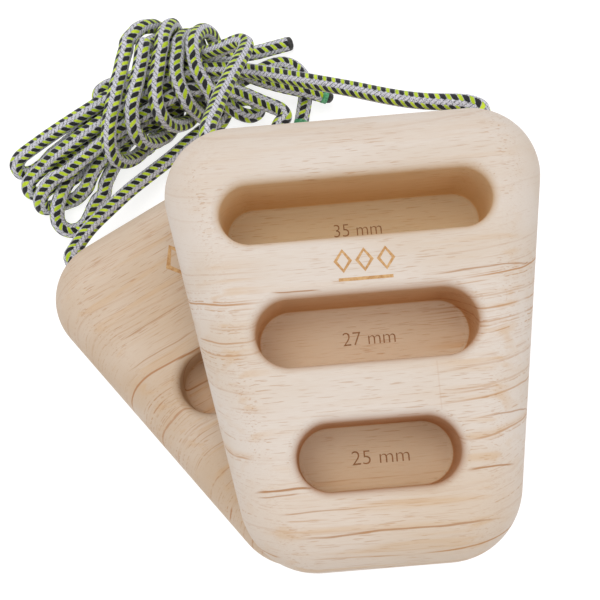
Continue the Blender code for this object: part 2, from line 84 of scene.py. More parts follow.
# Cord, its passage and the hank
CORD, CORD_PLAY = 6 * MM, 0.5 * MM
MOUTH_PLACE, PASSAGE_DOWN, PASSAGE_BEND, MOUTH_STAND = 49 * MM, 15.5 * MM, 7 * MM, 1.5 * MM
FACE_GAP = 0.3 * MM
HANK_PLACE = (-76 * MM, 120.2 * MM)
HANK_TURN = math.radians(208)
LANE_SPACE = 1.2 * MM
COLUMN = ROW = CORD + LANE_SPACE
LOWEST_ROW = 10.2 * MM
LANE_START, LANE_END = -13 * MM, 15 * MM
WRAPS, WRAP_PITCH, WRAP_START, WRAP_BOW = 4.5, 8.9 * MM, -30 * MM, 7 * MM
WRAP_LEAN, WRAP_LEAN_MORE, WRAP_SQUARENESS = 0.35, 0.85, 0.9
WRAP_HALF_WIDTH, WRAP_HALF_HEIGHT = 14.5 * MM, 14.2 * MM
WRAP_WIDER, WRAP_TALLER, WRAP_OFFSET = 6.5 * MM, 4 * MM, 2 * MM
# Loops: lane in, lane out (column, row), tip, half gap (mm), tilt (degrees), pull and dive
LOOPS = (
    ((1, 2), (1, 1), (65.8, 7.9, 7.4), 4.8, 50, 1.1, 1.0),
    ((0, 2), (0, 1), (66.3, -3.3, 7.4), 4.8, 50, 1.0, 1.3),
    ((-1, 2), (-1, 1), (66.6, -12.1, 7.2), 4.4, 58, 0.9, 1.2),
    ((0, 0), (-1, 0), (62.0, -25.4, 5.2), 7.2, 15, 0.8, 1.7),
)
# Routes in millimetres from the front block's middle
FRONT_LEFT_ROUTE = (
    (-48.6, 83.5, 80.8), (-47, 88.5, 76.5), (-45, 96.5, 71), (-42, 104.5, 65.5), (-38.5, 113, 60),
    (-34.5, 121.5, 53.5), (-32.5, 127.5, 49.5), (-35, 130.5, 47), (-40, 130, 42.5),
    (-47.5, 131, 35.5), (-53, 131.5, 30.5), (-60, 132, 26))
FRONT_RIGHT_ROUTE = (
    (47.8, 81.6, 82.8), (44.5, 83.6, 82.2), (40, 84.2, 80.8), (35, 84.9, 78.8), (29.5, 86.5, 76),
    (20, 91.5, 69), (5, 100.5, 59), (-8.5, 107.5, 51), (-21, 114.5, 43), (-34, 121.5, 34.5),
    (-45.5, 126.5, 28), (-56.5, 127.5, 25))
REAR_RIGHT_ROUTE = (
    (-25, 98.8, 27.4), (-21.5, 101.3, 27.2), (-20.2, 104.2, 27), (-23.5, 107, 26.6),
    (-29, 110, 26), (-37, 114.9, 25.5), (-44.3, 118.5, 25), (-52.5, 120.7, 24.5))
REAR_LEFT_ROUTE = (
    (-111, 55, 25.5), (-109, 59.5, 24), (-105, 65.5, 21.5), (-98, 72.5, 18), (-89, 82, 13.5),
    (-79.5, 89.5, 10.5), (-71, 96, 8.5), (-63.5, 103, 6.5), (-58.5, 110.5, 4.5))
SIDE_CURL = (
    (-52.5, 116.5, 3.6), (-46.5, 121.5, 3.4), (-40, 123, 3.3), (-35, 121, 3.5), (-32, 116, 4.2),
    (-35, 112, 6), (-39, 112, 8), (-43.5, 115, 10), (-47.5, 119, 10.5), (-57.5, 124.5, 10.2))
FIRST_TAIL = (
    (-60.5, 135.5, 15.5), (-48.5, 137, 11.5), (-41.5, 140.5, 7.5), (-34.5, 140.5, 4.2),
    (-28.5, 142.5, 3.2), (-22, 144.5, 3.2), (-18.5, 145, 3.2))
SECOND_TAIL = (
    (-57, 128, 15.5), (-48.5, 128.5, 12), (-42.5, 129.5, 10.5), (-37, 128.5, 10), (-28, 125, 10),
    (-19, 122, 10), (-10, 119.5, 9.9), (-4, 118, 8.2))
THIRD_TAIL = (
    (-55, 123.5, 16.5), (-50, 127, 13), (-45, 126.5, 8), (-38.5, 130.5, 3.4), (-32.5, 133, 3.2),
    (-26.5, 136.5, 3.2), (-20, 138, 3.2), (-14, 135, 3.2), (-10.5, 129.5, 3.2), (-10, 123, 3.2),
    (-12, 117.5, 3.2), (-14, 111, 3.2))
# Ways between the last loop and the wraps and to the tucked end, in the hank's own lanes (mm)
WRAP_CURL = ((-16.3, -8.4, 9.6), (-19.5, -12, 9), (-20.5, -15.6, 10))
END_BIGHT = ((-20, 22.5, 9), (-9, 17.5, 6), (1, 16.5, 8), (11, 17.5, 10.5), (18, 16.5, 12.5),
             (21, 12.5, 13), (18, 7.7, 11.5), (11, 7.2, 10.2), (0, 7.1, 10.2))
APART = CORD + 1.35 * MM
ROUTE_STEP = 4 * MM
FLOOR_CLEAR = 0.15 * MM
LOOP_STEPS, LANE_STEPS, TIP_ARRIVAL, TILT_EARLY = 400, 12, 0.9, 1.25
WRAP_STEPS = 500

# How strands are eased apart
EASE_ROUNDS, LOOK_EVERY, LOOK_REACH, NEXT_OF_KIN = 300, 8, 1.6, 4
PUSH_APART, EVEN_BENDS, DRAW_HOME, KEEP_LENGTH, LENGTH_ROUNDS = 0.3, 0.2, 0.02, 0.4, 2

# Braid: lanes of slanted ticks round the cord, one black and one lime tick to a period
LANES = 4
TICK_PITCH = 2.1 * MM
TICK_SLANT, TICK_HALF_WIDTH = -1.5, 0.29
TICKS_MEET, BLACK_MIDDLE, LIME_MIDDLE = 1.22, 0.61, 1.61
BLACK_HALF, LIME_HALF = 0.52, 0.37
WEFT_SLANT = TICK_SLANT * 1.4
TICK_RELIEF, WEFT_RELIEF, YARN_BED = 0.13 * MM, 0.09 * MM, 0.02 * MM
CORD_SIDES, CORD_STEP, CORD_DENSITY, SAID_EVERY = 40, 0.45 * MM, 14, 4
CORD_TWISTS = ((0.5, 61 * MM), (0.25, 23 * MM))
STRAND_TURN = 0.7

# Cord ends, as (length, radius) in millimetres, and how lumpy each is
BAND = ((-0.5, 2.9), (-0.45, 3.2), (-0.2, 3.32), (0.7, 3.22), (1.6, 3.3), (1.9, 3.15), (2.0, 2.4))
STUB = ((1.8, 2.4), (2.8, 2.3), (3.7, 2.0), (4.3, 1.4), (4.6, 0.7))
FUSED = ((-0.5, 2.85), (0.2, 2.98), (1.2, 2.95), (1.9, 2.6), (2.3, 1.9), (2.45, 0.9))
BAND_LUMPS, STUB_LUMPS, FUSED_LUMPS, STUB_SEED = 0.1, 0.25, 0.12, 5
END_SIDES, END_SQUARE_TO = 28, (0.3, 0.5, 0.8)

# Burnt depths (number, pocket, width in millimetres) and marks (width, height, stroke)
NUMBERS = (("35", DEEP_POCKET, 17), ("27", MIDDLE_POCKET, 18), ("25", FOOT_POCKET, 19.3))
NUMBER_HEIGHT, NUMBER_OFFSET, NUMBER_THINNER, NUMBER_CURVES = 4.6 * MM, 1.6 * MM, 0.012, 4
FRONT_MARK, FRONT_MARK_PLACE = (21 * MM, 11 * MM, 0.9 * MM), (1.0 * MM, 21 * MM)
BACK_MARK, BACK_MARK_PLACE = (38 * MM, 20 * MM, 1.5 * MM), (0, 45 * MM)
BURN_SINK = 0.04 * MM
# A mark's lozenges and bar, in shares of its width, height or stroke
LOZENGE_WIDE, LOZENGE_TALL, LOZENGE_LEVEL, LOZENGE_STROKE = 0.86, 0.36, 0.14, 1.3
BAR_HALF, BAR_LEVEL, BAR_STROKE, BAR_HOLLOW = 0.42, -0.42, 0.6, (1, 0.02)

# Colours, 0 to 255 as on the screen
FRONT_FACE, FRONT_BLUSH, FRONT_STREAK = (213, 203, 191), (207, 193, 176), (174, 124, 72)
REAR_FACE, REAR_BLUSH, REAR_STREAK = (207, 190, 170), (199, 177, 151), (170, 118, 74)
BAND_BROWN, TRAIL_BROWN = (200, 164, 120), (200, 166, 126)
FOOT_BROWN, LINE_BROWN = (200, 172, 138), (160, 110, 60)
NUMBER_BURNS, MARK_BURNS = ((128, 84, 48), (152, 106, 66)), ((176, 128, 76), (204, 164, 112))
UNBURNT = (200, 160, 112)
# first the painted shade in the gaps between grey yarns, then the yarns' grey; then two limes
GAP_SHADE_AND_YARN_GREY, LIMES = ((104, 106, 108), (200, 200, 208)), ((180, 206, 30), (212, 234, 60))
# SHADE is the painted shade round each float
YARN_LIGHT, YARN_DARK, THREAD, SHADE = (238, 238, 246), (66, 70, 66), (30, 34, 20), (70, 72, 66)
BLACKS = ((20, 20, 24), (52, 52, 58))
GREENS, MELTS = ((38, 128, 78), (104, 182, 132)), ((22, 22, 24), (74, 72, 66))

# Growth lines as (spacing, half width, least strength), single lines as (start, end, level at
# the start, slope, half width, strength), and the seam (x, lowest y, highest y), all in mm
BOLD_LINES, THIN_LINES, FAINT_LINES = (5.6, 0.44, 0.3), (2.3, 0.28, 0.36), (1.1, 0.22, 0.25)
FRONT_LINES = (
    (-41, -20, -48.6, 0.02, 0.5, 0.85), (-40, -25, -50.3, 0.03, 0.35, 0.6),
    (-34, -3, -55.9, 0.0, 0.3, 0.55), (-31, 40, -63.9, 0.02, 0.4, 0.7),
    (26, 43, -46.9, 0.05, 0.45, 0.8), (20, 58, 15.4, 0.07, 0.4, 0.65),
    (-31, -13, 14.4, -0.02, 0.32, 0.75), (34, 52, -31.2, 0.14, 0.36, 0.6))
REAR_LINES = ((18, 52, 22, 0.0, 0.3, 0.5), (12, 34, 15.4, 0.02, 0.4, 0.7),
              (16, 48, 33, 0.0, 0.35, 0.5))
FRONT_SEAM = (20.8, -28, -11.5)

# Each block's wood: colours, where in the grain it is cut from, how busy its middle is, lines
FRONT_WOOD = ((FRONT_FACE, FRONT_BLUSH, FRONT_STREAK), 3.0, 0.12, FRONT_LINES, FRONT_SEAM)
REAR_WOOD = ((REAR_FACE, REAR_BLUSH, REAR_STREAK), 17.0, 0.7, REAR_LINES)
CUT_FROM = (37.0, 11.0, 5.0)

# Studio: lights as (name, place, size, power, colour)
LIGHTS = (("softbox", (-0.15, 0.25, 1.2), 1.0, 7.0, (1.0, 0.985, 0.95)),
          ("fill", (0.6, -0.6, 1.0), 0.9, 2.0, (1.0, 0.99, 0.98)))
LIT_PLACE = (0, 0, 0.05)
SURROUND, SURROUND_STRENGTH = (0.955, 0.945, 1.0, 1), 0.66
SHEET_HALF, SHEET_GREYS, SHEET_GLOW = 3.0, ((0.36, 0.36, 0.36, 1), (0.38, 0.38, 0.38, 1)), 0.76

# Camera
CAMERA_PLACE = (0.00748, -0.06003, 0.45326)
CAMERA_RIGHT = (0.99644052, -0.08133829, -0.02214447)
CAMERA_UP = (0.08400323, 0.98005442, 0.18010215)
CAMERA_BACK = (0.00705358, -0.18132128, 0.98339862)
CAMERA_LENS, CAMERA_SENSOR, CAMERA_REACH = 65.29, 36, (0.01, 20)


def add_object(name, data):
    made = bpy.data.objects.new(name, data)
    bpy.context.scene.collection.objects.link(made)
    return made


def make_camera():
    data = bpy.data.cameras.new("camera")
    data.sensor_width = CAMERA_SENSOR
    data.lens = CAMERA_LENS
    data.clip_start, data.clip_end = CAMERA_REACH
    made = add_object("camera", data)
    columns = (CAMERA_RIGHT, CAMERA_UP, CAMERA_BACK, CAMERA_PLACE)
    rows = [[column[row] for column in columns] for row in range(3)]
    made.matrix_world = Matrix(rows + [[0, 0, 0, 1]])
    bpy.context.scene.camera = made


# Cord routes, as numpy rows of points

def along(line):
    return np.r_[0, np.cumsum(np.linalg.norm(np.diff(line, axis=0), axis=1))]


def read_evenly(line, step):
    reach = along(line)
    places = np.linspace(0, reach[-1], max(2, round(reach[-1] / step)) + 1)
    return np.stack([np.interp(places, reach, line[:, k]) for k in range(3)], 1)


def smooth(points, step, density=8):
    """Centripetal curve through the points, read at even steps"""
    p = np.vstack([2 * points[0] - points[1], points, 2 * points[-1] - points[-2]])
    pieces = []
    for a, b, c, d in zip(p[:-3], p[1:-2], p[2:-1], p[3:]):
        t1, t2, t3 = np.cumsum([np.linalg.norm(v) ** 0.5 for v in (b - a, c - b, d - c)])
        t = np.linspace(t1, t2, density, endpoint=False)[:, None]
        ab = ((t1 - t) * a + t * b) / t1
        bc = ((t2 - t) * b + (t - t1) * c) / (t2 - t1)
        cd = ((t3 - t) * c + (t - t2) * d) / (t3 - t2)
        abc = ((t2 - t) * ab + t * bc) / t2
        bcd = ((t3 - t) * bc + (t - t1) * cd) / (t3 - t1)
        pieces.append(((t2 - t) * abc + (t - t1) * bcd) / (t2 - t1))
    return read_evenly(np.vstack(pieces + [points[-1:]]), step)


def corner_centre(level, half_width, radius, at_top):
    """Middle of a corner's arc: it touches the end of the block and its sloping side"""
    y = level - radius if at_top else level + radius
    half_there = half_width - (level - y) * math.tan(SLOPE)
    return half_there - radius / math.cos(SLOPE), y


def block_plan():
    """Outline of a block as arc middles, directions and radii, counter-clockwise"""
    top = corner_centre(HEIGHT / 2, TOP_WIDTH / 2, TOP_CORNER, True)
    foot = corner_centre(-HEIGHT / 2, FOOT_WIDTH / 2, FOOT_CORNER, False)
    upper = np.linspace(-SLOPE, math.pi / 2, CORNER_STEPS)
    lower = np.linspace(-math.pi / 2, -SLOPE, CORNER_STEPS)
    angles = np.concatenate([upper, math.pi - upper[::-1], math.pi - lower[::-1], lower])
    middles = np.repeat([top, (-top[0], top[1]), (-foot[0], foot[1]), foot], CORNER_STEPS, axis=0)
    radii = np.repeat([TOP_CORNER, TOP_CORNER, FOOT_CORNER, FOOT_CORNER], CORNER_STEPS)
    return middles, np.stack([np.cos(angles), np.sin(angles)], 1), radii


def swung(points, swing, place):
    c, s = math.cos(swing), math.sin(swing)
    return points @ np.array([[c, s], [-s, c]]) + place


def pair_middle():
    """Middle of the box round both blocks, from the front block's middle"""
    middles, directions, radii = block_plan()
    edge = middles + radii[:, None] * directions
    both = np.vstack([edge, swung(edge, REAR_SWING, REAR_PLACE)])
    return (both.min(0) + both.max(0)) / 2


MIDDLE = pair_middle()
FRONT_CENTRE = (-MIDDLE[0], -MIDDLE[1], THICKNESS * 1.5 + RESTING_GAP)
REAR_CENTRE = (REAR_PLACE[0] - MIDDLE[0], REAR_PLACE[1] - MIDDLE[1], THICKNESS / 2)
FRONT_FRAME = Matrix.Translation(FRONT_CENTRE)
REAR_FRAME = (Matrix.Translation(REAR_CENTRE) @ Matrix.Rotation(REAR_SWING, 4, "Z")
              @ Matrix.Rotation(math.pi, 4, "Y"))


def mouth():
    """Where the cord's passage comes out of the right corner of the top end"""
    centre = corner_centre(HEIGHT / 2, TOP_WIDTH / 2, TOP_CORNER, True)
    return MOUTH_PLACE, centre[1] + math.sqrt(TOP_CORNER ** 2 - (MOUTH_PLACE - centre[0]) ** 2)


def hank(local):
    """Hank's own lanes (along the lanes, across them, height) to the model's place"""
    local = np.asarray(local, float)
    c, s = math.cos(HANK_TURN), math.sin(HANK_TURN)
    x = HANK_PLACE[0] + c * local[:, 0] + s * local[:, 1] - MIDDLE[0]
    y = HANK_PLACE[1] + s * local[:, 0] - c * local[:, 1] - MIDDLE[1]
    return np.stack([x, y, local[:, 2]], 1)


def placed(route):
    """Route in millimetres from the front block's middle to the model's place"""
    return np.array(route, float) * MM - (MIDDLE[0], MIDDLE[1], 0)


def lane(column_row):
    return np.array([column_row[0] * COLUMN, LOWEST_ROW + column_row[1] * ROW])


def loop(way_in, way_out, tip, half_gap, tilt, pull, dive):
    """Strand along its lane, round the loop's tip and back: two strands beside a bent middle line.

    The middle line is a Hermite curve from between the two lanes to the tip, the strands lie half
    a gap each side of it, turned from the lanes' slant to the tip's, and close in a half circle.
    """
    lane_in, lane_out = lane(way_in), lane(way_out)
    start = np.r_[LANE_END, (lane_in + lane_out) / 2]
    end = np.array(tip) * MM
    half_gap = half_gap * MM
    chord = end - start
    reach = np.linalg.norm(chord)
    leave = np.array([pull * reach, 0, 0])
    arrive = np.array([chord[0], chord[1] * dive, 0])
    arrive *= TIP_ARRIVAL * reach / np.linalg.norm(arrive)
    s = np.linspace(0, 1, LOOP_STEPS)[:, None]
    middle = ((2 * s ** 3 - 3 * s ** 2 + 1) * start + (s ** 3 - 2 * s ** 2 + s) * leave
              + (3 * s ** 2 - 2 * s ** 3) * end + (s ** 3 - s ** 2) * arrive)
    heading = np.gradient(middle, axis=0)
    heading /= np.linalg.norm(heading, axis=1)[:, None]
    side = np.stack([-heading[:, 1], heading[:, 0], 0 * heading[:, 0]], 1)
    side /= np.linalg.norm(side, axis=1)[:, None]
    up = np.cross(heading, side)
    up *= np.sign(up[:, 2:3])
    share = np.clip(s[:, 0] * TILT_EARLY, 0, 1)
    share = share * share * (3 - 2 * share)
    spread = lane_in - lane_out
    slant = math.atan2(spread[1], spread[0])
    slant = slant + (math.radians(tilt) - slant) * share
    half = np.linalg.norm(spread) / 2
    half = half + (half_gap - half) * share
    left = along(middle)[-1] - along(middle)
    closing = np.clip(1 - ((half_gap - np.minimum(left, half_gap)) / half_gap) ** 2, 0, 1)
    half = half * np.sqrt(closing)
    away = (np.cos(slant) * half)[:, None] * side + (np.sin(slant) * half)[:, None] * up
    round_tip = np.vstack([middle + away, (middle - away)[::-1][1:]])
    places = np.linspace(LANE_START, LANE_END, LANE_STEPS)[:-1]
    inward = [(place, *lane_in) for place in places]
    outward = [(place, *lane_out) for place in places[::-1]]
    return hank(read_evenly(np.vstack([inward, round_tip, outward]), ROUTE_STEP))


def wrapping():
    """Wraps: a squared ellipse round the lanes, carried along them, each bowed towards the tips.

    They get wider and taller, and lean further back, from the first wrap to the last.
    """
    turns = np.linspace(0, WRAPS, WRAP_STEPS)
    angle = math.pi - 2 * math.pi * turns
    c, s = np.cos(angle), np.sin(angle)
    grow = turns / WRAPS
    reach = np.sign(c) * np.abs(c) ** WRAP_SQUARENESS
    rise = np.sign(s) * np.abs(s) ** WRAP_SQUARENESS
    across = WRAP_OFFSET * grow + (WRAP_HALF_WIDTH + WRAP_WIDER * grow) * reach
    lowest = CORD / 2 + FLOOR_CLEAR
    height = lowest + (WRAP_HALF_HEIGHT + WRAP_TALLER * grow) * (1 + rise)
    lean = WRAP_LEAN + WRAP_LEAN_MORE * grow
    lengthwise = WRAP_START + WRAP_PITCH * turns - lean * across + WRAP_BOW * rise
    return hank(read_evenly(np.stack([lengthwise, across, height], 1), ROUTE_STEP))


def ease_apart(lines):
    """Move strands apart, a little at a time, where they would touch each other or the floor.

    Each round pushes points that are too near apart, evens the bends, draws every strand towards
    its own route and restores its length. The first points of each line stay in the block.
    """
    x = np.vstack(lines)
    owner = np.concatenate([np.full(len(line), i) for i, line in enumerate(lines)])
    index = np.arange(len(x))
    kin = (owner[:, None] == owner) & (np.abs(index[:, None] - index) <= NEXT_OF_KIN)
    linked = owner[1:] == owner[:-1]
    inner = np.r_[False, linked[1:] & linked[:-1], False]
    held = np.isin(index, [n for s in np.flatnonzero(np.r_[True, ~linked]) for n in (s, s + 1)])
    home = x.copy()
    rest = np.linalg.norm(np.diff(x, axis=0), axis=1)
    for count in range(EASE_ROUNDS):
        calm = 1 - count / EASE_ROUNDS
        if count % LOOK_EVERY == 0:
            distance = np.linalg.norm(x[:, None] - x, axis=2)
            one, other = np.nonzero(np.triu((distance < APART * LOOK_REACH) & ~kin, 1))
        across = x[one] - x[other]
        distance = np.linalg.norm(across, axis=1)[:, None]
        push = across / distance * np.clip(APART - distance, 0, None) * PUSH_APART
        np.add.at(x, one, push)
        np.add.at(x, other, -push)
        middle = (x[2:] + x[:-2]) / 2
        bend = np.zeros_like(x)
        bend[1:-1] = middle - x[1:-1]
        x[inner] += EVEN_BENDS * calm * bend[inner]
        x += DRAW_HOME * calm * (home - x)
        for again in range(LENGTH_ROUNDS):
            step = np.diff(x, axis=0)
            length = np.linalg.norm(step, axis=1)
            pull = step * ((length - rest) / length * KEEP_LENGTH * linked)[:, None]
            x[:-1] += pull
            x[1:] -= pull
        x[:, 2] = np.maximum(x[:, 2], CORD / 2 + FLOOR_CLEAR)
        x[held] = home[held]
    return [x[owner == i] for i in range(len(lines))]


def start_of_lead(place, side):
    """Two points straight out of a block's passage, the first one where the lead begins"""
    x, y = mouth()
    outs = (FACE_GAP, FACE_GAP + CORD / 2)
    return np.array([place @ Vector((side * x, y + MOUTH_STAND + out, 0)) for out in outs])


def strand_lines():
    """The four unbroken strands from a block's mouth to the free end, eased apart"""
    starts = [start_of_lead(place, side) for place in (FRONT_FRAME, REAR_FRAME)
              for side in (-1, 1)]
    routes = (FRONT_LEFT_ROUTE, FRONT_RIGHT_ROUTE, REAR_RIGHT_ROUTE, REAR_LEFT_ROUTE)
    tails = (FIRST_TAIL, SECOND_TAIL, THIRD_TAIL)
    lines = []
    for number, (start, route) in enumerate(zip(starts, routes)):
        pieces = [start, placed(route)]
        if number < 3:
            pieces += [loop(*LOOPS[number]), placed(tails[number])]
        else:
            pieces += [placed(SIDE_CURL), loop(*LOOPS[number]), hank(np.array(WRAP_CURL) * MM),
                       wrapping()[1:], hank(np.array(END_BIGHT) * MM)]
        lines.append(smooth(np.vstack(pieces), ROUTE_STEP))
    return ease_apart(lines)


# Meshes from grids of points

def grid_mesh(name, rows, uv=None):
    """Closed mesh of a grid: rings of points, row by row, counter-clockwise seen from the last.

    Both ends have flat caps. uv gives u of the edges between points and v of the rows.
    """
    rings, around = rows.shape[:2]
    low = np.arange(rings - 1)[:, None] * around
    high = low + around
    this = np.arange(around)
    after = (this + 1) % around
    quads = np.stack([low + this, low + after, high + after, high + this], 2)
    faces = quads.reshape(-1, 4).tolist()
    faces += [this[::-1].tolist(), (this + (rings - 1) * around).tolist()]
    mesh = bpy.data.meshes.new(name)
    mesh.from_pydata(rows.reshape(-1, 3).tolist(), [], faces)
    if uv is not None:
        edges, levels = uv
        u = np.stack([edges[:-1], edges[1:], edges[1:], edges[:-1]], 1)
        v = np.stack([levels[:-1], levels[:-1], levels[1:], levels[1:]], 1)
        both = np.stack(np.broadcast_arrays(u[None], v[:, None]), 3).reshape(-1, 2)
        values = np.zeros((len(mesh.loops), 2), np.float32)
        values[:len(both)] = both
        mesh.uv_layers.new(name="braid").data.foreach_set("uv", values.ravel())
    mesh.shade_smooth()
    return mesh


def add_piece(name, mesh, finish):
    mesh.materials.clear()
    mesh.materials.append(finish)
    return add_object(name, mesh)


def points_of(mesh):
    points = np.empty(len(mesh.vertices) * 3)
    mesh.vertices.foreach_get("co", points)
    return points.reshape(-1, 3)


def evaluated_mesh(made):
    """Mesh of an object as its modifiers or its text make it"""
    bpy.context.view_layer.update()
    evaluated = made.evaluated_get(bpy.context.evaluated_depsgraph_get())
    return bpy.data.meshes.new_from_object(evaluated)


def drawn_plan(name, plan, profile):
    """Closed solid on a plan of arc middles, directions and radii, drawn out along a profile.

    P(u, v) = (middle(u) + (radius(u) + offset(v)) direction(u), height(v)), flat at both ends.
    """
    middles, directions, radii = plan
    offsets, heights = np.array(profile).T
    across = middles[None] + (radii[None, :, None] + offsets[:, None, None]) * directions[None]
    level = np.broadcast_to(heights[:, None, None], across.shape[:2] + (1,))
    return grid_mesh(name, np.concatenate([across, level], 2))


def headings_of(line):
    way = np.gradient(line, axis=0)
    return way / np.linalg.norm(way, axis=1)[:, None]


def carried_sides(headings, first_side):
    """Side directions along a path, carried without twist: each one is the last, made square"""
    sides = np.empty_like(headings)
    side = np.array(first_side, float)
    for i, heading in enumerate(headings):
        side = side - heading * (side @ heading)
        side /= np.linalg.norm(side)
        sides[i] = side
    return sides


def tube_rows(line, radii, first_side=(0, 0, 1), twist=0.0):
    """Rings round a path: P(u, v) = C(v) + r(u, v) (cos 2 pi u side + sin 2 pi u other side)"""
    headings = headings_of(line)
    sides = carried_sides(headings, first_side)
    others = np.cross(headings, sides)
    radii = np.atleast_2d(radii)
    angle = 2 * math.pi * np.arange(radii.shape[1]) / radii.shape[1]
    angle = angle + np.reshape(twist, (-1, 1))
    radii = np.broadcast_to(radii, (len(line), radii.shape[1]))
    ring = (np.cos(angle)[..., None] * sides[:, None] + np.sin(angle)[..., None] * others[:, None])
    return line[:, None] + radii[..., None] * ring


# Finishes

def paint(colour):
    """Screen colour, 0 to 255, as the shader's linear colour"""
    share = np.array(colour) / 255
    linear = np.where(share <= 0.04045, share / 12.92, ((share + 0.055) / 1.055) ** 2.4)
    return (*linear.tolist(), 1.0)


class Value:
    """A node's output that arithmetic can be written on"""

    def __init__(self, finish, socket):
        self.finish = finish
        self.socket = socket

    def maths(self, operation, *others):
        return self.finish.maths(operation, self, *others)

    def __add__(self, other):
        return self.maths("ADD", other)

    def __sub__(self, other):
        return self.maths("SUBTRACT", other)

    def __mul__(self, other):
        return self.maths("MULTIPLY", other)

    def __truediv__(self, other):
        return self.maths("DIVIDE", other)

    def __rsub__(self, other):
        return self.finish.maths("SUBTRACT", other, self)

    def __rtruediv__(self, other):
        return self.finish.maths("DIVIDE", other, self)

    def __abs__(self):
        return self.maths("ABSOLUTE")

    __radd__ = __add__
    __rmul__ = __mul__

    def share(self, low, high, result_low=0.0, result_high=1.0):
        """Smooth step from low to high"""
        return self.finish.node(
            "MapRange", {"interpolation_type": "SMOOTHSTEP"},
            {"Value": self, "From Min": low, "From Max": high,
             "To Min": result_low, "To Max": result_high})


class Finish:
    """A material: values are written as expressions, every other node comes from node()"""

    def __init__(self, name):
        self.material = bpy.data.materials.new(name)
        self.material.use_nodes = True
        self.nodes = self.material.node_tree.nodes
        self.links = self.material.node_tree.links
        self.shader = self.nodes["Principled BSDF"]

    def plug(self, socket, value):
        if isinstance(value, Value):
            self.links.new(value.socket, socket)
        else:
            socket.default_value = value

    def node(self, kind, settings, inputs, output=0):
        made = self.nodes.new("ShaderNode" + kind)
        for name, value in settings.items():
            setattr(made, name, value)
        for name, value in inputs.items():
            self.plug(made.inputs[name], value)
        return Value(self, made.outputs[output])

    def maths(self, operation, *values):
        return self.node("Math", {"operation": operation}, dict(enumerate(values)))

    def mix(self, factor, first, second, blend="MIX"):
        return self.node("Mix", {"data_type": "RGBA", "blend_type": blend},
                         {0: factor, 6: first, 7: second}, output=2)

    def place(self):
        """Object coordinates, metres"""
        return self.node("TexCoord", {}, {}, output=3)

    def noise(self, place, scale, detail=2.0, roughness=0.5):
        return self.node("TexNoise", {}, {"Vector": place, "Scale": scale, "Detail": detail,
                                          "Roughness": roughness})

    def stretched(self, place, scale):
        return self.node("VectorMath", {"operation": "MULTIPLY"}, {0: place, 1: scale})

    def moved(self, place, by):
        return self.node("VectorMath", {"operation": "ADD"}, {0: place, 1: by})

    def axes(self, place):
        x = self.node("SeparateXYZ", {}, {0: place})
        return [Value(self, output) for output in x.socket.node.outputs]

    def bump(self, height, distance, strength):
        return self.node("Bump", {}, {"Height": height, "Distance": distance,
                                      "Strength": strength})

    def surface(self, **sockets):
        """Connect or set sockets of the shader, spaces in their names written as underscores"""
        for name, value in sockets.items():
            self.plug(self.shader.inputs[name.replace("_", " ")], value)
        return self.material


def growth_lines(wood, level, kind, seed, fade):
    """Thin lines, one to a cell of the spacing, each at its own level and of its own strength.

    Returns the lines and the soft trails below them.
    """
    spacing, width, least = kind
    step = level / spacing + 50
    cell = step.maths("FLOOR")
    chance = wood.node("TexWhiteNoise", {"noise_dimensions": "1D"}, {"W": cell + seed}, output=1)
    start, strength, softness = wood.axes(chance)
    away = (step - cell - 0.2 - start * 0.6) * spacing
    strong = strength.share(least, 1.0) * fade
    line = abs(away).share(width * 0.35, width, 1.0, 0.0) * strong
    trail = away.share(0.0, width) * away.share(width, 1.2 + spacing * 0.3, 1.0, 0.0) * strong
    return line, trail * softness


def single_lines(x, level, lines):
    """Long lines one by one"""
    total = None
    for start, end, height, slope, width, strength in lines:
        away = abs(level - height - (x - start) * slope)
        reach = (end - start) / 2
        along_it = abs(x - (start + end) / 2).share(reach * 0.55, reach, strength, 0.0)
        line = away.share(width * 0.3, width, 1.0, 0.0) * along_it
        total = line if total is None else total.maths("MAXIMUM", line)
    return total


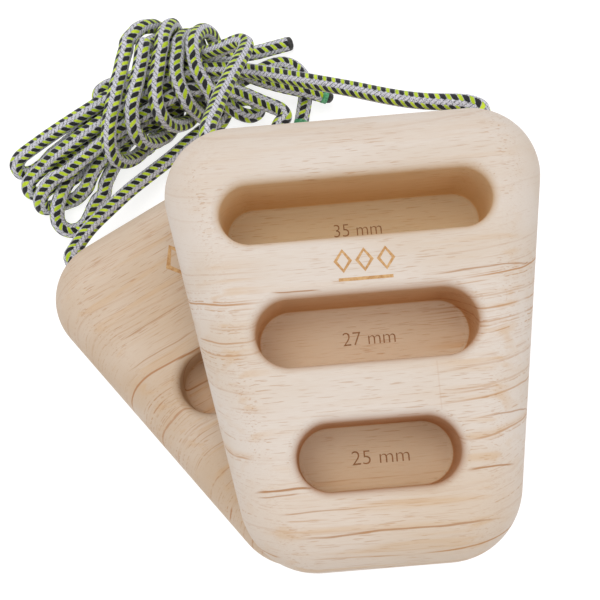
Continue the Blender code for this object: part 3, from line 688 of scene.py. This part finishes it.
def wood_finish(name, centre, turn, colours, seed, busy, lines, joint=None):
    """Pale rubberwood: fine growth lines along the block, pore dashes, browner in the pockets from
    painted shade and the end grain's own tone.

    Lengths are millimetres from the block's middle; busy is the middle's share of growth lines.
    """
    face, blush, streak = (paint(colour) for colour in colours)
    wood = Finish(name)
    place = wood.node("Mapping", {"vector_type": "TEXTURE"},
                      {"Vector": wood.place(), "Location": centre, "Rotation": turn,
                       "Scale": (MM, MM, MM)})
    x, y, z = wood.axes(place)
    other = wood.moved(place, [seed * share for share in CUT_FROM])

    def grain(along_it, across_it, detail=2.0, roughness=0.5):
        """Noise drawn out along the block, with so many waves to a millimetre"""
        drawn_out = wood.stretched(other, (along_it, across_it, across_it))
        return wood.noise(drawn_out, 1.0, detail, roughness)

    ripple = grain(0.04, 0.14) - 0.5
    right = x.maths("MAXIMUM", 0.0)
    level = y + (grain(0.007, 0.018) - 0.5) * 12 + ripple * 1.3 + z * 0.5 - right * right * 0.0009
    breaks = grain(0.06, 0.8)
    # lines gather towards the sides and the foot
    sides = x.share(14.0, 34.0).maths("MAXIMUM", (0.0 - x).share(28.0, 44.0))
    beside = sides * y.share(20.0, 34.0, 1.0, 0.2)
    foot = (0.0 - y).share(34.0, 56.0)
    zone = beside.maths("MAXIMUM", foot).maths("MAXIMUM", busy)
    fade = zone * grain(0.022, 0.09).share(0.34, 0.5)
    bold, bold_trail = growth_lines(wood, level, BOLD_LINES, seed, fade)
    thin, thin_trail = growth_lines(wood, level, THIN_LINES, seed + 40,
                                    fade * breaks.share(0.42, 0.56))
    faint = growth_lines(wood, level, FAINT_LINES, seed + 80,
                         breaks.share(0.44, 0.58) * (zone * 0.6 + 0.2))[0]
    single = single_lines(x, y + ripple * 2.4, lines)
    # pores: short dashes, left out where the side shows their ends
    normal = wood.node("TexCoord", {}, {}, output=1)
    lengthwise = (math.cos(turn[2]), math.sin(turn[2]), 0)
    ends = abs(wood.node("VectorMath", {"operation": "DOT_PRODUCT"},
                         {0: normal, 1: lengthwise}, output=1)).share(0.3, 0.65, 1.0, 0.0)
    patch = grain(0.03, 0.06, 1.0)
    dash = grain(0.14, 2.4, 1.0, 0.4).share(0.62, 0.7) * patch.share(0.36, 0.62, 0.3, 1.0) * ends
    fibre = grain(0.2, 6.0)
    colour = wood.mix(grain(0.014, 0.04).share(0.35, 0.68), face, blush)
    banding = grain(0.012, 0.26).share(0.5, 0.68) * (zone * 0.42 + 0.06) * (ends * 0.75 + 0.25)
    layers = [(banding, paint(BAND_BROWN)),
              (bold_trail * 0.5 + thin_trail * 0.3, paint(TRAIL_BROWN)),
              (foot * 0.22, paint(FOOT_BROWN)),
              (faint * (0.3 + busy * 0.25), streak), (thin * 0.6, streak), (bold * 0.85, streak),
              (single, paint(LINE_BROWN)),
              (dash * 0.45, streak), (fibre.share(0.35, 0.8, 0.0, 0.12), streak)]
    if joint is not None:
        seam_x, seam_low, seam_high = joint
        seam = abs(x - seam_x).share(0.1, 0.35, 1.0, 0.0)
        seam = seam * y.share(seam_low, seam_low + 1) * y.share(seam_high - 1, seam_high, 1.0, 0.0)
        layers.append((seam * 0.14, streak))
    for factor, laid_on in layers:
        colour = wood.mix(factor, colour, laid_on)
    # pockets: painted shade and light, with the end grain's browner tone, multiplied on the wood
    shade_and_tone = wood.node("Attribute", {"attribute_name": "pocket"}, {})
    colour = wood.mix(1.0, colour, shade_and_tone, "MULTIPLY")
    rough = 0.6 + fibre * 0.1 + dash * 0.1
    height = fibre * 0.3 - dash * 0.8 - bold * 0.4
    return wood.surface(Base_Color=colour, Roughness=rough,
                        Normal=wood.bump(height, 0.1 * MM, 0.5),
                        Specular_IOR_Level=0.28)


def braid_finish():
    """Braided sheath: lanes of slanted black and lime floats between light grey yarns"""
    braid = Finish("braided_cord")
    uv = braid.node("UVMap", {"uv_map": "braid"}, {})
    u, v = braid.axes(uv)[:2]
    across = u.maths("FRACT") - 0.5
    run = v + across * TICK_SLANT
    pair = (run / 2).maths("FRACT") * 2
    lime = pair.maths("GREATER_THAN", TICKS_MEET)
    tick = pair - BLACK_MIDDLE - lime * (LIME_MIDDLE - BLACK_MIDDLE)
    width = across / TICK_HALF_WIDTH
    length = tick / (BLACK_HALF - lime * (BLACK_HALF - LIME_HALF))
    edge = (width * width) * (width * width) + (length * length) * (length * length)
    float_mask = edge.share(0.75, 1.35, 1.0, 0.0)
    border = (u + 0.5).maths("FRACT") - 0.5
    weft = ((v + 0.5) - border * WEFT_SLANT).maths("FRACT") - 0.5
    weft_gap = abs(weft).share(0.3, 0.5, 1.0, 0.0)
    place = braid.place()
    fuzz = braid.noise(place, 2600.0)
    patch = braid.noise(place, 240.0)
    threads = (run * 5.0).maths("FRACT") - 0.5
    thread_line = abs(threads).share(0.25, 0.5, 1.0, 0.0)
    # the grey yarns, with painted shade in the gaps between them
    grey = braid.mix(weft_gap, *map(paint, GAP_SHADE_AND_YARN_GREY))
    grey = braid.mix(fuzz.share(0.5, 0.64, 0.0, 0.6), grey, paint(YARN_LIGHT))
    grey = braid.mix(fuzz.share(0.34, 0.47, 0.75, 0.0), grey, paint(YARN_DARK))
    bright = braid.mix(patch.share(0.3, 0.7), *map(paint, LIMES))
    black = braid.mix(fuzz.share(0.35, 0.8), *map(paint, BLACKS))
    floats = braid.mix(lime, black, bright)
    floats = braid.mix(thread_line * 0.18, floats, paint(THREAD))
    colour = braid.mix(float_mask, grey, floats)
    # painted shade: a dark ring round each float, where it dips between the yarns beside it
    rim = edge.share(0.8, 1.5) * edge.share(1.5, 2.6, 1.0, 0.0)
    colour = braid.mix(rim * 0.3, colour, paint(SHADE))
    height = (float_mask * 0.7 + weft_gap * 0.3 * (1 - float_mask) + thread_line * 0.12
              + fuzz * 0.15)
    return braid.surface(Base_Color=colour, Roughness=0.72 + fuzz * 0.15,
                         Normal=braid.bump(height, 0.35 * MM, 0.6), Specular_IOR_Level=0.3,
                         Sheen_Weight=0.15, Sheen_Roughness=0.5)


def burnt_finish(name, burns):
    """Burnt wood: brown and uneven"""
    burnt = Finish(name)
    place = burnt.place()
    patch = burnt.noise(place, 900.0, 3.0)
    fine = burnt.noise(place, 5000.0)
    colour = burnt.mix(patch.share(0.3, 0.7), *map(paint, burns))
    colour = burnt.mix(fine.share(0.4, 0.8, 0.0, 0.4), colour, paint(UNBURNT))
    return burnt.surface(Base_Color=colour, Roughness=0.75 + fine * 0.1,
                         Normal=burnt.bump(fine, 0.1 * MM, 0.4))


def band_finish():
    """Shrunk green sleeve, a little uneven and half glossy"""
    band = Finish("green_band")
    wrinkle = band.noise(band.place(), 1100.0, 3.0)
    colour = band.mix(wrinkle.share(0.3, 0.7), *map(paint, GREENS))
    return band.surface(Base_Color=colour, Roughness=0.3 + wrinkle * 0.2,
                        Normal=band.bump(wrinkle, 0.4 * MM, 0.5))


def fused_finish():
    """Melted cord end: near black, lumpy"""
    fused = Finish("fused_end")
    lumps = fused.noise(fused.place(), 1400.0, 3.0)
    colour = fused.mix(lumps.share(0.35, 0.75), *map(paint, MELTS))
    return fused.surface(Base_Color=colour, Roughness=0.45 + lumps * 0.3,
                         Normal=fused.bump(lumps, 0.5 * MM, 0.6))


def floor_finish():
    """White studio sheet, lit from behind as well, so that shadows on it stay faint"""
    floor = Finish("studio_floor")
    colour = floor.mix(floor.noise(floor.place(), 3.0, 1.0), *SHEET_GREYS)
    return floor.surface(Base_Color=colour, Roughness=0.9, Specular_IOR_Level=0.05,
                         Emission_Color=(1, 1, 1, 1), Emission_Strength=SHEET_GLOW)


# Blocks

def stadium_plan(half_length, half_height):
    """Long hole with full-round ends as arc middles, directions and radii"""
    angles = np.linspace(-math.pi / 2, math.pi / 2, ROUND_END_STEPS)
    angles = np.concatenate([angles, angles + math.pi])
    reach = half_length - half_height
    middles = np.repeat([(reach, 0), (-reach, 0)], ROUND_END_STEPS, axis=0)
    radii = np.full(len(angles), half_height)
    return middles, np.stack([np.cos(angles), np.sin(angles)], 1), radii


def slab_profile():
    """Edges of a slab, quarter circles: (offset, height) from the lower face to the upper one"""
    turn = np.linspace(0, math.pi / 2, EDGE_STEPS + 1)
    offset = -EDGE_ROUNDING * (1 - np.sin(turn))
    height = -THICKNESS / 2 + EDGE_ROUNDING * (1 - np.cos(turn))
    lower = np.stack([offset, height], 1)
    return np.vstack([lower, (lower * (1, -1))[::-1]])


def pocket_profile(depth):
    """Pocket from its floor up: rounded floor edge, straight wall, rounded rim"""
    turn = np.linspace(0, math.pi / 2, FLOOR_EDGE_STEPS)
    floor = np.stack([-FLOOR_ROUNDING * (1 - np.sin(turn)),
                      -depth + FLOOR_ROUNDING * (1 - np.cos(turn))], 1)
    turn = np.linspace(0, RIM_SHARE * math.pi / 2, RIM_STEPS)
    rim = np.stack([RIM_ROUNDING * (1 - np.cos(turn)), -RIM_ROUNDING * (1 - np.sin(turn))], 1)
    above = [(RIM_ROUNDING * RIM_OVER, RIM_ROUNDING * RIM_RISE)]
    return np.vstack([floor, rim, above])


def pocket_shade_and_tone(points):
    """Pocket colour at each point, painted shade and light with the end grain's browner tone:
    rising down the rim, another one on a floor
    """
    shade_and_tone = np.ones((len(points), 4))
    for ((level, half_length, half_height, deep), behind), (wall, floor) in zip(POCKETS, POCKET_SHADE_AND_TONE):
        side = -1 if behind else 1
        reach = half_length - half_height
        beyond = np.maximum(np.abs(points[:, 0]) - reach, 0)
        away = np.hypot(beyond, points[:, 1] - level) - half_height
        below = THICKNESS / 2 - side * points[:, 2]
        share = np.clip((below - RIM_SHADE_AND_TONE_DEPTHS[0]) / (RIM_SHADE_AND_TONE_DEPTHS[1] - RIM_SHADE_AND_TONE_DEPTHS[0]), 0, 1)
        colour = 1 + share[:, None] * (np.array(wall) - 1)
        colour[below > deep - FLOOR_ROUNDING * FLOOR_BEGINS] = floor
        within = (away < RIM_ROUNDING) & (below < deep + FACE_GAP)
        shade_and_tone[within, :3] = colour[within]
    return shade_and_tone


def passage_line(above):
    """U from the right mouth through the top end to the left mouth"""
    x, y = mouth()
    cross = HEIGHT / 2 - PASSAGE_DOWN
    turn = np.linspace(0, math.pi / 2, BEND_STEPS)
    bend = np.stack([x - PASSAGE_BEND + PASSAGE_BEND * np.cos(turn),
                     cross + PASSAGE_BEND - PASSAGE_BEND * np.sin(turn)], 1)
    half = np.vstack([[(x, y + above)], bend])
    both = np.vstack([half, (half * (-1, 1))[::-1]])
    return np.column_stack([both, np.zeros(len(both))])


def carve(body, cutters):
    """Body's mesh with the cutters taken out"""
    for cutter in cutters:
        modifier = body.modifiers.new(cutter.name, "BOOLEAN")
        modifier.operation = "DIFFERENCE"
        modifier.solver = "EXACT"
        modifier.object = cutter
    mesh = evaluated_mesh(body)
    for spare in (body, *cutters):
        bpy.data.objects.remove(spare)
    return mesh


def make_block(name, node, place, body, finish):
    slab = add_object(name + "_slab", drawn_plan(name + "_slab", block_plan(), slab_profile()))
    cutters = []
    for number, ((level, half_length, half_height, depth), behind) in enumerate(POCKETS):
        mesh = drawn_plan(f"{name}_pocket_{number}", stadium_plan(half_length, half_height),
                          pocket_profile(depth))
        over = Matrix.Rotation(math.pi if behind else 0, 4, "Y")
        mesh.transform(over @ Matrix.Translation((0, level, THICKNESS / 2)))
        cutters.append(add_object(mesh.name, mesh))
    bore = read_evenly(passage_line(CORD * 2), BORE_STEP)
    rows = tube_rows(bore, np.full((1, BORE_SIDES), CORD / 2 + CORD_PLAY))
    cutters.append(add_object(name + "_bore", grid_mesh(name + "_bore", rows)))
    mesh = carve(slab, cutters)
    # painted shade and light of the pockets, with the end grain's browner tone, kept on the mesh's
    # points
    shade_and_tone = mesh.attributes.new("pocket", "FLOAT_COLOR", "POINT")
    shade_and_tone.data.foreach_set("color", pocket_shade_and_tone(points_of(mesh)).astype(np.float32).ravel())
    mesh.transform(place)
    mesh.shade_smooth()
    mesh.set_sharp_from_angle(angle=SHARP_ANGLE)
    made = add_piece(name, mesh, finish)
    weighted = made.modifiers.new("even_shading", "WEIGHTED_NORMAL")
    weighted.keep_sharp = True
    weighted.weight = SHADING_WEIGHT
    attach(made, body)
    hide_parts(node)
    return made


# Burnt numbers and marks

def lettering(name, text, width, height):
    """Flat number as a thin solid, fitted to its width and height about its middle"""
    curve = bpy.data.curves.new(name, "FONT")
    curve.body = text
    curve.size = height
    curve.extrude = BURN_SINK
    curve.offset = -height * NUMBER_THINNER
    curve.resolution_u = NUMBER_CURVES
    temporary = add_object(name, curve)
    mesh = evaluated_mesh(temporary)
    bpy.data.objects.remove(temporary)
    points = points_of(mesh)
    low, high = points.min(0), points.max(0)
    fit = (width / (high[0] - low[0]), height / (high[1] - low[1]), 1)
    points = (points - (low + high) / 2) * fit
    mesh.vertices.foreach_set("co", points.ravel())
    return mesh


def lozenge_mark(name, width, height, stroke):
    """Row of three hollow lozenges over a thin bar, as one thin solid mesh.

    Each shape is four rings of four corners: inner and outer outline, below and above the wood.
    """
    shapes = []
    half = width / 6
    for place in (-1, 0, 1):
        corners = np.array([(1, 0), (0, 1), (-1, 0), (0, -1)]) * (half * LOZENGE_WIDE,
                                                                  height * LOZENGE_TALL)
        inner = 1 - stroke * LOZENGE_STROKE / np.linalg.norm(corners, axis=1)[:, None]
        shapes.append(((place * half * 2, height * LOZENGE_LEVEL), corners, corners * inner))
    bar = np.array([(1, 1), (-1, 1), (-1, -1), (1, -1)]) * (width * BAR_HALF, stroke * BAR_STROKE)
    shapes.append(((0, height * BAR_LEVEL), bar, bar * BAR_HOLLOW))
    points, faces = [], []
    for centre, corners, inner in shapes:
        rows = [np.column_stack([ring + centre, np.full(4, level)])
                for ring, level in ((inner, -BURN_SINK), (corners, -BURN_SINK),
                                    (corners, BURN_SINK), (inner, BURN_SINK))]
        start = len(points)
        points += np.vstack(rows).tolist()
        for row in range(4):
            for side in range(4):
                after, above = (side + 1) % 4, (row + 1) % 4
                faces.append([start + row * 4 + side, start + row * 4 + after,
                              start + above * 4 + after, start + above * 4 + side])
    mesh = bpy.data.meshes.new(name)
    mesh.from_pydata(points, [], faces)
    return mesh


def burn(name, mesh, place, centre, body, finish):
    mesh.transform(place @ Matrix.Translation(centre))
    made = add_piece(name, mesh, finish)
    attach(made, body)


# Cord

def braid_relief(u, v):
    """Height of the yarns: slanted floats in lanes, and lower yarns slanting the other way"""
    across = u % 1 - 0.5
    pair = (v + across * TICK_SLANT) % 2
    tick = np.where(pair > TICKS_MEET, (pair - LIME_MIDDLE) / LIME_HALF,
                    (pair - BLACK_MIDDLE) / BLACK_HALF)
    edge = (across / TICK_HALF_WIDTH) ** 4 + tick ** 4
    pillow = np.clip(1.15 - edge, 0, 1) ** 0.5
    border = (u + 0.5) % 1 - 0.5
    weft = (v + 0.5 - border * WEFT_SLANT) % 1 - 0.5
    low = np.cos(math.pi * weft) ** 0.5 * (edge > 1)
    return TICK_RELIEF * pillow + WEFT_RELIEF * low


def braided(name, line, finish, turned=0.0):
    """Braided tube along a line: the plain tube with the yarns' height added to its radius"""
    fine = smooth(line, CORD_STEP, CORD_DENSITY)
    reach = along(fine)
    v = reach / TICK_PITCH
    edges = np.linspace(0, LANES, CORD_SIDES + 1)
    relief = braid_relief(edges[None, :-1], v[:, None])
    radii = CORD / 2 - YARN_BED + relief
    twist = turned + sum(swing * np.sin(reach / wave) for swing, wave in CORD_TWISTS)
    twist -= twist[0] - turned
    rows = tube_rows(fine, radii, twist=twist)
    mesh = grid_mesh(name, rows, uv=(edges, v))
    return add_piece(name, mesh, finish), fine


def end_solid(name, tip, heading, profile, finish, lumps, seed):
    """Turned end piece: rings of a profile (length, radius), both in millimetres, off the tip"""
    lengths, radii = np.array(profile).T * MM
    chance = np.random.default_rng(seed)
    wobble = 1 + lumps * (chance.random((1, END_SIDES)) - 0.5) + lumps * 0.5 * (
        chance.random((len(lengths), END_SIDES)) - 0.5)
    rows = tube_rows(tip + heading * lengths[:, None], radii[:, None] * wobble,
                     np.cross(heading, END_SQUARE_TO))
    return add_piece(name, grid_mesh(name, rows), finish)


def make_cords(braid, green, dark):
    runs = (("front_left_strand", ("front_left_lead", "hank_loop_1", "tail_1")),
            ("front_right_strand", ("front_right_lead", "hank_loop_2", "tail_2")),
            ("rear_right_strand", ("rear_right_lead", "hank_loop_3", "tail_3")),
            ("rear_left_strand", ("rear_left_lead", "hank_wrapping")))
    for number, ((name, nodes), line) in enumerate(zip(runs, strand_lines())):
        out = (line[1] - line[0]) / np.linalg.norm(line[1] - line[0])
        line = np.vstack([line[0] - out * FACE_GAP, line[1:]])
        strand, fine = braided(name, line, braid, number * STRAND_TURN)
        tip, heading = fine[-1], headings_of(fine)[-1]
        end = f"cord_end_{number + 1}"
        if number in (1, 2):
            piece = end_solid(f"green_band_{number}", tip, heading, BAND, green, BAND_LUMPS,
                              number)
            stub = end_solid(f"frayed_stub_{number}", tip, heading, STUB, dark, STUB_LUMPS,
                             number + STUB_SEED)
            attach(stub, "rear_board")
        else:
            piece = end_solid(f"fused_tip_{number + 1}", tip, heading, FUSED, dark, FUSED_LUMPS,
                              number)
        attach(piece, "rear_board")
        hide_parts(end)
        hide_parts(*nodes)
        if number < 2:
            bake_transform(strand)
        else:
            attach(strand, "rear_board")
        path = fine[::SAID_EVERY].tolist() + [fine[-1].tolist()]
    for name, place, body in (("front_cord_inside", FRONT_FRAME, "front_board"),
                              ("rear_cord_inside", REAR_FRAME, "rear_board")):
        turn = np.array(place.to_3x3())
        line = passage_line(MOUTH_STAND) @ turn.T + np.array(place.translation)
        inside = braided(name + "_run", read_evenly(line, BORE_STEP), braid)[0]
        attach(inside, body)
        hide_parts(name)


# Studio

def make_floor():
    corners = np.array([(-1, -1, 0), (1, -1, 0), (1, 1, 0), (-1, 1, 0)]) * SHEET_HALF
    mesh = bpy.data.meshes.new("floor")
    mesh.from_pydata(corners.tolist(), [], [(0, 1, 2, 3)])
    add_piece("floor", mesh, floor_finish())


def make_light(name, place, size, power, colour):
    data = bpy.data.lights.new(name, "AREA")
    data.shape = "DISK"
    data.size = size
    data.energy = power
    data.color = colour
    made = add_object(name, data)
    made.location = place
    made.rotation_euler = (Vector(LIT_PLACE) - Vector(place)).to_track_quat("-Z", "Y").to_euler()


def make_studio():
    scene = bpy.context.scene
    scene.view_settings.view_transform = "Standard"
    world = bpy.data.worlds.new("studio")
    world.use_nodes = True
    background = world.node_tree.nodes["Background"]
    background.inputs["Color"].default_value = SURROUND
    background.inputs["Strength"].default_value = SURROUND_STRENGTH
    scene.world = world
    for light in LIGHTS:
        make_light(*light)


make_camera()
make_studio()
make_floor()
braid = braid_finish()
make_cords(braid, band_finish(), fused_finish())
front_wood = wood_finish("front_wood", FRONT_CENTRE, (0, 0, 0), *FRONT_WOOD)
rear_wood = wood_finish("rear_wood", REAR_CENTRE, (0, math.pi, REAR_SWING), *REAR_WOOD)
front_block = make_block("front_board_wood", "front_block", FRONT_FRAME, "front_board", front_wood)
rear_block = make_block("rear_board_wood", "rear_block", REAR_FRAME, "rear_board", rear_wood)
burnt_number = burnt_finish("burnt_number", NUMBER_BURNS)
burnt_mark = burnt_finish("burnt_mark", MARK_BURNS)
for side, place in (("front", FRONT_FRAME), ("rear", REAR_FRAME)):
    body = f"{side}_board"
    for number, pocket, width in NUMBERS:
        mesh = lettering(f"{side}_number_{number}", f"{number} mm", width * MM, NUMBER_HEIGHT)
        centre = (NUMBER_OFFSET, pocket[0], THICKNESS / 2 - pocket[3])
        burn(mesh.name, mesh, place, centre, body, burnt_number)
    mark = lozenge_mark(f"{side}_mark", *FRONT_MARK)
    burn(mark.name, mark, place, (*FRONT_MARK_PLACE, THICKNESS / 2), body, burnt_mark)
    mark = lozenge_mark(f"{side}_back_mark", *BACK_MARK)
    mark.transform(Matrix.Rotation(math.pi, 4, "Y"))
    burn(mark.name, mark, place, (*BACK_MARK_PLACE, -THICKNESS / 2), body, burnt_mark)
